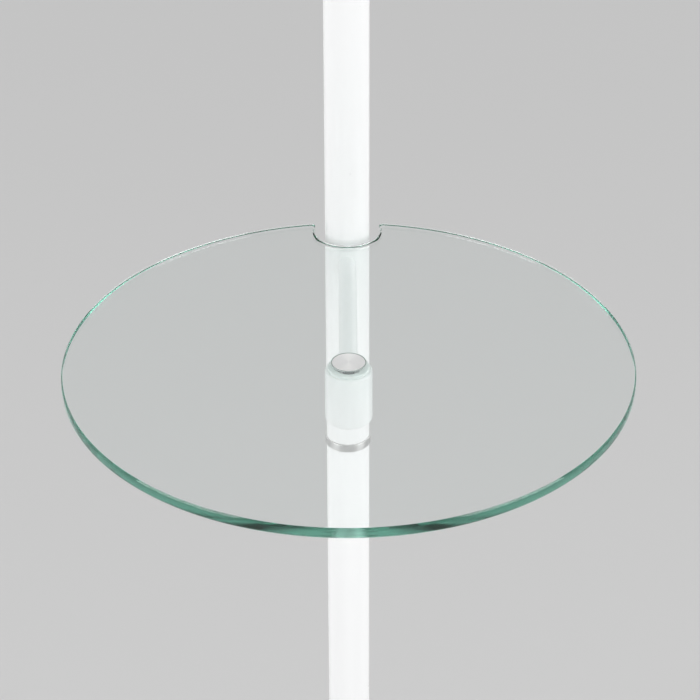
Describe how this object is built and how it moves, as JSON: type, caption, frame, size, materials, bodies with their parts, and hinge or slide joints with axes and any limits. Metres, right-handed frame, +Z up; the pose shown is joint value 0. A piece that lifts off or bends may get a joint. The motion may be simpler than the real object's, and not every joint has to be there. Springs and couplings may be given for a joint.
{
  "type": "floor lamp with table",
  "caption": "Floor lamp with a drum shade and a round clear glass table, which a post and a rod arm carry in front of the white pole.",
  "frame": {"origin": "on the floor, on the axis of the pole", "axes": "+Z up along the pole; the glass table reaches out towards -Y; the cord inlet is at the rear, towards +Y; the switch knob points along +X"},
  "size_m": [0.4015, 0.4923, 1.5229],
  "materials": {
    "white_enamel": "gloss white enamel",
    "cast_weight": "as cast, dark primer",
    "felt": "dense black felt",
    "zinc_steel": "bright zinc plate",
    "brushed_ring": "brushed satin",
    "spun_cap": "spun satin with a fine grain from the centre",
    "clear_glass": "clear toughened glass with green polished edges",
    "clear_pad": "translucent soft plastic",
    "inlet_rubber": "white soft plastic",
    "holder_white": "moulded satin white",
    "white_ceramic": "unglazed",
    "contact_brass": "plain",
    "bulb_alloy": "bright rolled",
    "bulb_black": "black moulding",
    "bulb_white": "white moulding",
    "bulb_opal": "opal diffuser",
    "shade_cloth": "plain off-white weave on a stiff lining",
    "shade_trim": "folded tape of the same weave",
    "white_wire": "white powder coat"
  },
  "bodies": {
    "lamp": {"arm_block": "zinc_steel", "base_cover": "white_enamel", "base_felt": "felt", "base_nipple": "zinc_steel", "base_nut": "zinc_steel", "base_washer": "zinc_steel", "base_weight": "cast_weight", "bulb_cap": "bulb_alloy", "bulb_globe": "bulb_opal", "bulb_housing": "bulb_white", "bulb_insulator": "bulb_black", "bulb_tip": "contact_brass", "cap_stud": "zinc_steel", "centre_contact": "contact_brass", "clamp_ring": "holder_white", "cord_inlet": "inlet_rubber", "foot_bush": "zinc_steel", "foot_collar": "white_enamel", "glass_pad": "clear_pad", "glass_table": "clear_glass", "holder_body": "holder_white", "holder_cap": "holder_white", "holder_insert": "white_ceramic", "holder_locknut": "zinc_steel", "holder_nipple": "zinc_steel", "hole_liner": "clear_pad", "lower_joint_bushes": "zinc_steel", "lower_joint_nipple": "zinc_steel", "lower_joint_ring": "brushed_ring", "lower_tube": "white_enamel", "middle_tube": "white_enamel", "screw_shell": "contact_brass", "shade_fabric": "shade_cloth", "shade_lower_hem": "shade_trim", "shade_lower_wire": "white_wire", "shade_spider": "white_wire", "shade_upper_hem": "shade_trim", "shade_upper_wire": "white_wire", "support_post": "white_enamel", "switch_block": "holder_white", "switch_nut": "zinc_steel", "table_arm": "white_enamel", "table_cap": "spun_cap", "top_bush": "zinc_steel", "upper_joint_bushes": "zinc_steel", "upper_joint_nipple": "zinc_steel", "upper_joint_ring": "brushed_ring", "upper_tube": "white_enamel"},
    "knob": {"switch_knob": "holder_white", "switch_stem": "zinc_steel"}
  },
  "joints": [
    {"name": "switch_turn", "type": "hinge", "parent": "lamp", "child": "knob", "pos_m": [0.0303, 0, 1.2957], "axis": [1, 0, 0], "continuous": true}
  ]
}
